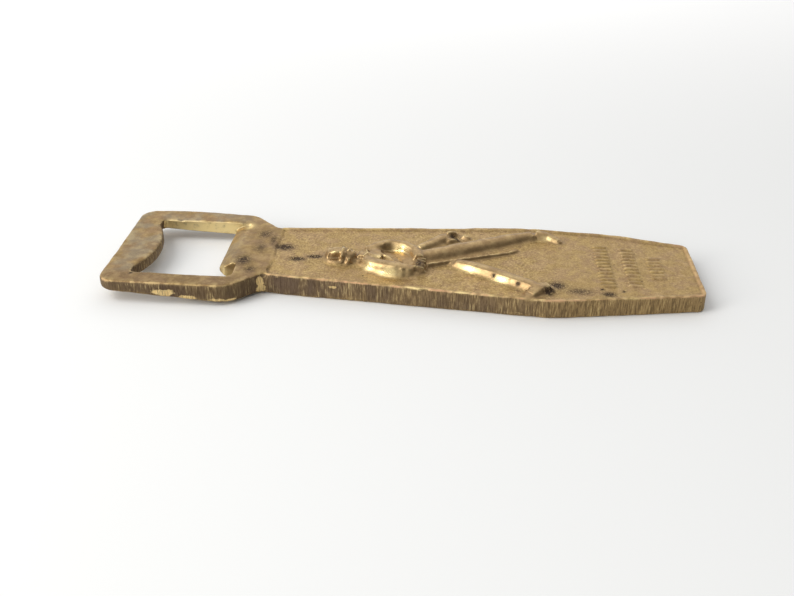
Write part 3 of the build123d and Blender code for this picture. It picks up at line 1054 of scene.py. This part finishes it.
    def fill(self, mesh: bpy.types.Mesh, ends: Array, rim: Array) -> None:
        """Fills the loops that these edges of the active object make.

        Args:
            mesh: The active object's mesh.
            ends: The two vertices of each of its edges, as they were when it was cut.
            rim: Which of those edges to fill between.
        """
        if rim.any():
            choose_edges(mesh, ends, rim)
            with editing():
                bpy.ops.mesh.fill(use_beauty=True)

    def part(self) -> dict[Region, bpy.types.Object]:
        """Parts the shell.

        Returns:
            The closed piece of each region.
        """
        regions = self.regions()
        labels = self.tidy(self.label(), len(regions))
        mesh = self.shell.data
        for region in regions:
            mesh.materials.append(bpy.data.materials.new(f"part_{region.name}"))
        mesh.polygons.foreach_set("material_index", labels)
        pick(self.shell)
        with editing():
            bpy.ops.mesh.separate(type="MATERIAL")
        found = {}
        for one in bpy.context.selected_objects:
            if one.type == "MESH" and len(one.data.polygons):
                found[one.data.materials[one.data.polygons[0].material_index].name] = one
        pieces = {}
        for region in regions:
            piece = found[f"part_{region.name}"]
            piece.name = piece.data.name = f"{region.name}_cast"
            piece.data.materials.clear()
            self.close(piece)
            triangles = sum(len(one.vertices) - 2 for one in piece.data.polygons)
            if triangles > self.most:
                low = np.flatnonzero(read_vertices(piece.data)[:, 2] < self.underside * MM)
                piece.vertex_groups.new(name="underside").add(low.tolist(), 1.0, "REPLACE")
                modify(piece, "DECIMATE", ratio=self.most / triangles, vertex_group="underside")
            pick(piece)
            bpy.ops.object.shade_smooth_by_angle(angle=math.radians(self.sharp))
            pieces[region] = piece
            log.info("parted %s, %d triangles", piece.name, min(triangles, self.most))
        return pieces


# ------------------------------------------------------------
# Finishes


class Value:
    """A varying number in a material, with Python's arithmetic."""

    def __init__(self, sheet: "NodeSheet", socket: bpy.types.NodeSocket) -> None:
        """Wraps an output socket of a sheet's node."""
        self.sheet = sheet
        self.socket = socket

    def _math(self, operation: str, *terms: "Value | float") -> "Value":
        """Adds a Math node on these terms and wraps its result."""
        node = self.sheet.add("ShaderNodeMath", {"operation": operation}, dict(enumerate(terms)))
        return Value(self.sheet, node.outputs[0])

    def __add__(self, other: "Value | float") -> "Value":
        """The sum."""
        return self._math("ADD", self, other)

    __radd__ = __add__

    def __sub__(self, other: "Value | float") -> "Value":
        """The difference."""
        return self._math("SUBTRACT", self, other)

    def __rsub__(self, other: float) -> "Value":
        """The difference, the other way round."""
        return self._math("SUBTRACT", other, self)

    def __mul__(self, other: "Value | float") -> "Value":
        """The product."""
        return self._math("MULTIPLY", self, other)

    __rmul__ = __mul__

    def most(self, other: "Value | float") -> "Value":
        """The larger of the two."""
        return self._math("MAXIMUM", self, other)

    def toward(self, other: "Value", share: "Value") -> "Value":
        """This number moved towards another one by a share."""
        return self + (other - self) * share

    def held(self) -> "Value":
        """The number held between 0 and 1."""
        return self._math("MINIMUM", self.most(0.0), 1.0)

    def step(self, low: float, high: float) -> "Value":
        """A soft step from 0 at low to 1 at high, or the other way if low is above high."""
        start, end = (0.0, 1.0) if low < high else (1.0, 0.0)
        reach = {"From Min": min(low, high), "From Max": max(low, high), "To Min": start, "To Max": end}
        settings = {"interpolation_type": "SMOOTHSTEP"}
        node = self.sheet.add("ShaderNodeMapRange", settings, {"Value": self, **reach})
        return Value(self.sheet, node.outputs[0])


Term = Value | bpy.types.NodeSocket | float | Sequence[float]


class NodeSheet:
    """The nodes of a material or of a world."""

    def __init__(self, owner: bpy.types.Material | bpy.types.World) -> None:
        """Leaves the owner's nodes with only an output in them."""
        self.owner = owner
        self.owner.use_nodes = True
        self.tree = self.owner.node_tree
        self.tree.nodes.clear()
        worldly = isinstance(owner, bpy.types.World)
        self.output = self.add("ShaderNodeOutputWorld" if worldly else "ShaderNodeOutputMaterial")

    def add(
        self,
        kind: str,
        settings: dict[str, Any] | None = None,
        inputs: dict[str | int, Term] | None = None,
    ) -> bpy.types.Node:
        """Adds a node.

        Args:
            kind: The node's type.
            settings: Its properties, set before its sockets.
            inputs: The value or link of each socket, by the socket's name or number.

        Returns:
            The new node.
        """
        node = self.tree.nodes.new(kind)
        for key, value in (settings or {}).items():
            setattr(node, key, value)
        for key, term in (inputs or {}).items():
            source = term.socket if isinstance(term, Value) else term
            if isinstance(source, bpy.types.NodeSocket):
                self.tree.links.new(source, node.inputs[key])
            else:
                node.inputs[key].default_value = source
        return node

    def attribute(self, name: str) -> Value:
        """A number stored on the mesh."""
        node = self.add("ShaderNodeAttribute", {"attribute_name": name})
        return Value(self, node.outputs["Fac"])

    def places(self, stretch: tuple[float, float, float] = (1.0, 1.0, 1.0)) -> bpy.types.NodeSocket:
        """Object coordinates in millimetres, each multiplied by a stretch."""
        where = self.add("ShaderNodeTexCoord").outputs["Object"]
        scale = [part / MM for part in stretch]
        return self.add("ShaderNodeVectorMath", {"operation": "MULTIPLY"}, {0: where, 1: scale}).outputs[0]

    def noise(self, vector: Term, size: float, detail: float = 2.0, roughness: float = 0.5) -> Value:
        """Soft noise, from 0 to 1, whose lumps are some number of millimetres wide."""
        node = self.add(
            "ShaderNodeTexNoise",
            {"noise_dimensions": "3D"},
            {"Vector": vector, "Scale": 1.0 / size, "Detail": detail, "Roughness": roughness},
        )
        return Value(self, node.outputs["Fac"])

    def blend(self, share: Value | float, low: Term, high: Term, how: str = "MIX") -> bpy.types.NodeSocket:
        """Mixes two colours by a share."""
        node = self.add(
            "ShaderNodeMix",
            {"data_type": "RGBA", "blend_type": how},
            {0: share, 6: opaque(low), 7: opaque(high)},
        )
        return node.outputs[2]


def opaque(colour: Term) -> Term:
    """A plain colour with its alpha added; a socket is left as it is."""
    return (*colour, 1.0) if isinstance(colour, tuple) else colour


@dataclass(frozen=True)
class BrassFinish:
    """Old brass: clean metal under a skin of tarnish, with grime in the creases, and a thin painted shade
    over the figure.

    Attributes:
        name: The material's name.
        tarnish: The skin's main colour.
        rose: A redder tarnish that lies among it in patches, and on the figure.
        brown: The darker skin of the ring.
        cool: A greyer tarnish that lies over the ring's free end in patches.
        metal: The bare metal's colour.
        copper: The metal where an edge is rubbed down to its redder heart.
        dirt: What lies in creases and pits, and the thin painted shade laid over the whole figure.
        gilt: The bare metal of the filed sides.
        wall: The browner skin of the filed sides, also laid as painted shade on the lobe's side that faces
            into the window.
        polish: How much of the high spots is bare, from 0 to 1.
        grit: Height of the sand-cast grain, in millimetres.
    """

    name: str
    tarnish: Colour = (0.46, 0.31, 0.125)
    rose: Colour = (0.43, 0.28, 0.15)
    brown: Colour = (0.19, 0.115, 0.055)
    cool: Colour = (0.37, 0.295, 0.19)
    # metal: The bare metal's colour, also laid on the figure's flanks as painted highlights.
    metal: Colour = (0.93, 0.74, 0.36)
    copper: Colour = (0.72, 0.42, 0.24)
    dirt: Colour = (0.055, 0.03, 0.012)
    gilt: Colour = (0.74, 0.53, 0.23)
    wall: Colour = (0.145, 0.095, 0.062)
    polish: float = 0.6
    grit: float = 0.05

    def material(self) -> bpy.types.Material:
        """Builds the finish.

        Returns:
            The material.
        """
        sheet = NodeSheet(bpy.data.materials.new(self.name))
        where = sheet.places()
        streaks = sheet.places((1.0, 1.0, 0.10))
        blotches = sheet.noise(where, 6.0, 3.0)
        mottle = sheet.noise(where, 2.2, 4.0, 0.65)
        grain = sheet.noise(where, 0.5, 4.0, 0.75)
        lumps = sheet.noise(where, 1.3, 2.0)
        filed = sheet.noise(streaks, 0.27, 3.0, 0.65)
        scored = sheet.noise(streaks, 2.4, 4.0, 0.6)
        drift = sheet.noise(where, 22.0, 2.0)
        patches = sheet.noise(where, 4.2, 3.0, 0.6)

        ridge, crown, crease, edge, rim = map(sheet.attribute, ("ridge", "crown", "crease", "edge", "rim"))
        wall, sand, figure, bare, stain = map(sheet.attribute, ("wall", "sand", "figure", "bare", "stain"))
        tip, brown, tail = map(sheet.attribute, ("tip", "brown", "tail"))

        # The tarnished skin, with the grain of the sand in it.
        rosy = (patches.step(0.40, 0.62) * 0.7).most(figure * 0.6)
        skin = sheet.blend(rosy, self.tarnish, self.rose)
        skin = sheet.blend(brown * 0.55, skin, self.brown)
        skin = sheet.blend(blotches.step(0.40, 0.62) * tip * 0.85, skin, self.cool)
        skin = sheet.blend(mottle.step(0.60, 0.34) * (0.22 - sand * 0.08), skin, self.dirt)
        skin = sheet.blend(mottle.step(0.46, 0.70) * 0.14, skin, self.metal)
        coarse = sand * (1.0 - tail * 0.4)
        skin = sheet.blend(grain.step(0.47, 0.32) * (coarse * 0.36 + 0.14), skin, self.dirt)
        skin = sheet.blend(grain.step(0.51, 0.66) * (coarse * 0.36 + 0.10), skin, self.metal)
        # The whole figure is darkened a little: painted shade, for the darker surroundings that its smoother
        # skin reflects.
        skin = sheet.blend(figure * 0.06, skin, self.dirt)
        skin = sheet.blend(rim * 0.22, skin, self.copper)

        # The filed sides, streaked up and down; their dark skin is also laid on the lobe's side that faces
        # into the window, away from the key light, as painted shade.
        browned = drift.step(0.40, 0.62) * 0.30 + scored.step(0.35, 0.75) * 0.30
        side = sheet.blend(browned, self.wall, self.tarnish)
        side = sheet.blend(tail * 0.62, side, self.tarnish)
        side = sheet.blend((brown * 0.4).held(), side, self.dirt)
        side = sheet.blend(filed.step(0.56, 0.38) * 0.60, side, self.dirt)
        side = sheet.blend(filed.step(0.54, 0.68) * scored.step(0.36, 0.60) * 0.45, side, self.metal)
        skin = sheet.blend(wall * 0.95, skin, side)

        # Bare metal on the high spots, in the rubbed places and along the near edge, and as painted
        # highlights on the figure's flanks.
        patchy = mottle.step(0.40, 0.62)
        worn = (ridge * patchy * 1.5 + crown * 0.15 * patchy) * self.polish
        ragged = (bare * 1.3 + (mottle - 0.5) * 1.6).step(0.42, 0.62) * bare.step(0.05, 0.2)
        shiny = worn.most((bare * mottle.step(0.22, 0.50)).toward(ragged, wall)).held()
        gold = sheet.blend(wall * (mottle.step(0.35, 0.60) * 0.4 + 0.6), self.metal, self.gilt)
        gold = sheet.blend(wall * filed.step(0.54, 0.36) * 0.6, gold, self.wall)
        skin = sheet.blend(shiny, skin, gold)
        lined = (edge * (patchy * 0.7 + 0.25) * 1.2).held()
        skin = sheet.blend(lined, skin, sheet.blend(blotches.step(0.42, 0.62), self.copper, self.metal))

        # Dirt in the creases and pits.
        pitted = stain * grain.step(0.68, 0.46) * 1.9
        pitted = pitted.most(lumps.step(0.28, 0.20) * (0.3 + sand * 0.4)).held()
        grubby = (crease * (0.25 + mottle * 0.6) * (1.0 - shiny * 0.7)).most(pitted).held()
        skin = sheet.blend(grubby, skin, self.dirt)

        rough = (0.48 + mottle * 0.10 + wall * 0.14 - shiny * 0.20 - figure * 0.12 + grubby * 0.2).held()
        metallic = (0.88 + shiny * 0.12 - grubby * 0.5 - wall * 0.30).held()
        height = grain * (sand * 1.3 + bare * 0.9 + 0.2) + lumps * (sand * 0.9 + bare * 0.7 + 0.35)
        height = height + filed * wall * 1.2 - pitted * 0.9
        distance = self.grit * MM
        bump = sheet.add("ShaderNodeBump", {}, {"Strength": 1.0, "Distance": distance, "Height": height})
        looks = {"Base Color": skin, "Roughness": rough, "Metallic": metallic, "Normal": bump.outputs[0]}
        shader = sheet.add("ShaderNodeBsdfPrincipled", {}, looks)
        sheet.tree.links.new(shader.outputs[0], sheet.output.inputs[0])
        return sheet.owner


# ------------------------------------------------------------
# The studio


@dataclass(frozen=True)
class Softbox:
    """A square area light.

    Attributes:
        name: The light's name.
        place: Where it stands, in metres.
        size: Its edge, in metres.
        power: Its power, in watts.
        colour: Its colour.
        target: What it faces, in metres.
    """

    name: str
    place: tuple[float, float, float]
    size: float
    power: float
    colour: Colour = (1.0, 1.0, 1.0)
    target: tuple[float, float, float] = (0.0, 0.0, 0.0)

    def set_up(self) -> None:
        """Adds the light, facing its target."""
        data = bpy.data.lights.new(self.name, "AREA")
        data.shape = "SQUARE"
        data.size = self.size
        data.energy = self.power
        data.color = self.colour
        lamp = bpy.data.objects.new(self.name, data)
        bpy.context.scene.collection.objects.link(lamp)
        lamp.location = self.place
        lamp.rotation_euler = (Vector(self.target) - Vector(self.place)).to_track_quat("-Z", "Y").to_euler()


@dataclass(frozen=True)
class Studio:
    """A white table, painted brighter towards the back as painted light, soft lights and the camera.

    Attributes:
        lens: Focal length, in millimetres, for a 36 mm sensor.
        stand: The camera's place, in metres.
        right: The direction to its right.
        up: The direction over it.
        softboxes: The lights.
        room: How bright the room is.
        gradients: Where the room differs, each as (direction, cosine where it starts, cosine where it is
            full, change in brightness).
    """

    lens: float = 41.71
    stand: tuple[float, float, float] = (0.011622, -0.211564, 0.117300)
    right: tuple[float, float, float] = (0.99761, 0.06854, 0.00821)
    up: tuple[float, float, float] = (-0.04184, 0.50576, 0.86166)
    softboxes: tuple[Softbox, ...] = (
        Softbox("key", (-0.50, -0.10, 0.62), 0.42, 2.35, (1.0, 0.99, 0.97)),
        Softbox("back", (0.0, 0.56, 0.40), 0.40, 0.9, target=(0.0, 0.76, 0.0)),
        Softbox("low_left", (-0.49, -0.28, 0.23), 0.26, 1.5, (1.0, 0.99, 0.96)),
    )

    room: float = 0.705
    gradients: tuple[tuple[tuple[float, float, float], float, float, float], ...] = (
        ((0.80, -0.52, 0.30), 0.40, 0.97, -0.56),
        ((0.00, 0.82, 0.57), 0.45, 1.0, 0.20),
    )

    def build(self) -> None:
        """Sets up the table, the lights, the surroundings and the camera."""
        bpy.ops.object.select_all(action="DESELECT")
        bpy.ops.mesh.primitive_plane_add(size=6.0)
        table = bpy.context.view_layer.objects.active
        table.name = "table"
        paper = NodeSheet(bpy.data.materials.new("white_paper"))
        where = paper.add("ShaderNodeTexCoord").outputs["Object"]
        back = Value(paper, paper.add("ShaderNodeSeparateXYZ", {}, {0: where}).outputs["Y"])
        # The paper is painted brighter towards the back of the table: painted light, standing in for the back
        # lying in more light than the front.
        paper_tone_with_painted_light = paper.blend(back.step(0.03, 0.34), (0.86, 0.865, 0.86), (0.97, 0.97, 0.965))
        shader = paper.add("ShaderNodeBsdfDiffuse", {}, {"Color": paper_tone_with_painted_light})
        paper.tree.links.new(shader.outputs[0], paper.output.inputs[0])
        table.data.materials.append(paper.owner)
        for softbox in self.softboxes:
            softbox.set_up()
        self.surroundings()
        self.camera()

    def surroundings(self) -> None:
        """Fills the room with pale light, stronger from behind and weaker from the front right."""
        sheet = NodeSheet(bpy.data.worlds.new("room"))
        bpy.context.scene.world = sheet.owner
        where = sheet.add("ShaderNodeTexCoord").outputs["Generated"]
        strength: Value | float = self.room
        for direction, low, high, change in self.gradients:
            toward = Vector(direction).normalized()
            dot = sheet.add("ShaderNodeVectorMath", {"operation": "DOT_PRODUCT"}, {0: where, 1: toward})
            strength = Value(sheet, dot.outputs["Value"]).step(low, high) * change + strength
        white = (1.0, 1.0, 1.0, 1.0)
        background = sheet.add("ShaderNodeBackground", {}, {"Color": white, "Strength": strength})
        sheet.tree.links.new(background.outputs[0], sheet.output.inputs[0])

    def camera(self) -> None:
        """Sets up the camera."""
        data = bpy.data.cameras.new("camera")
        data.lens = self.lens
        data.sensor_width = 36.0
        data.clip_start = 0.01
        camera = bpy.data.objects.new("camera", data)
        bpy.context.scene.collection.objects.link(camera)
        right, up = Vector(self.right), Vector(self.up)
        turn = Matrix((right, up, right.cross(up))).transposed()
        camera.matrix_world = Matrix.Translation(self.stand) @ turn.to_4x4()
        bpy.context.scene.camera = camera


FINISHES = {
    Slot.TARNISHED: BrassFinish("tarnished_brass"),
    Slot.WORN: BrassFinish("worn_brass", polish=0.9),
    Slot.SAND_CAST: BrassFinish("sand_cast_brass"),
    Slot.RELIEF: BrassFinish("relief_brass", grit=0.045),
}


def main() -> None:
    """Builds the tool and its studio."""
    logging.basicConfig(level=logging.INFO, format="%(name)s: %(message)s")
    casting = Casting()
    shell = casting.cast()
    casting.survey(shell)
    materials = {slot: finish.material() for slot, finish in FINISHES.items()}
    for region, piece in Parting(shell, casting.golfer).part().items():
        piece.data.materials.append(materials[region.slot])
        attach(piece, "root")
        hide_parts(region.name, *region.also)
    Studio().build()
    bpy.context.scene.view_settings.view_transform = "Standard"


if __name__ == "__main__":
    main()
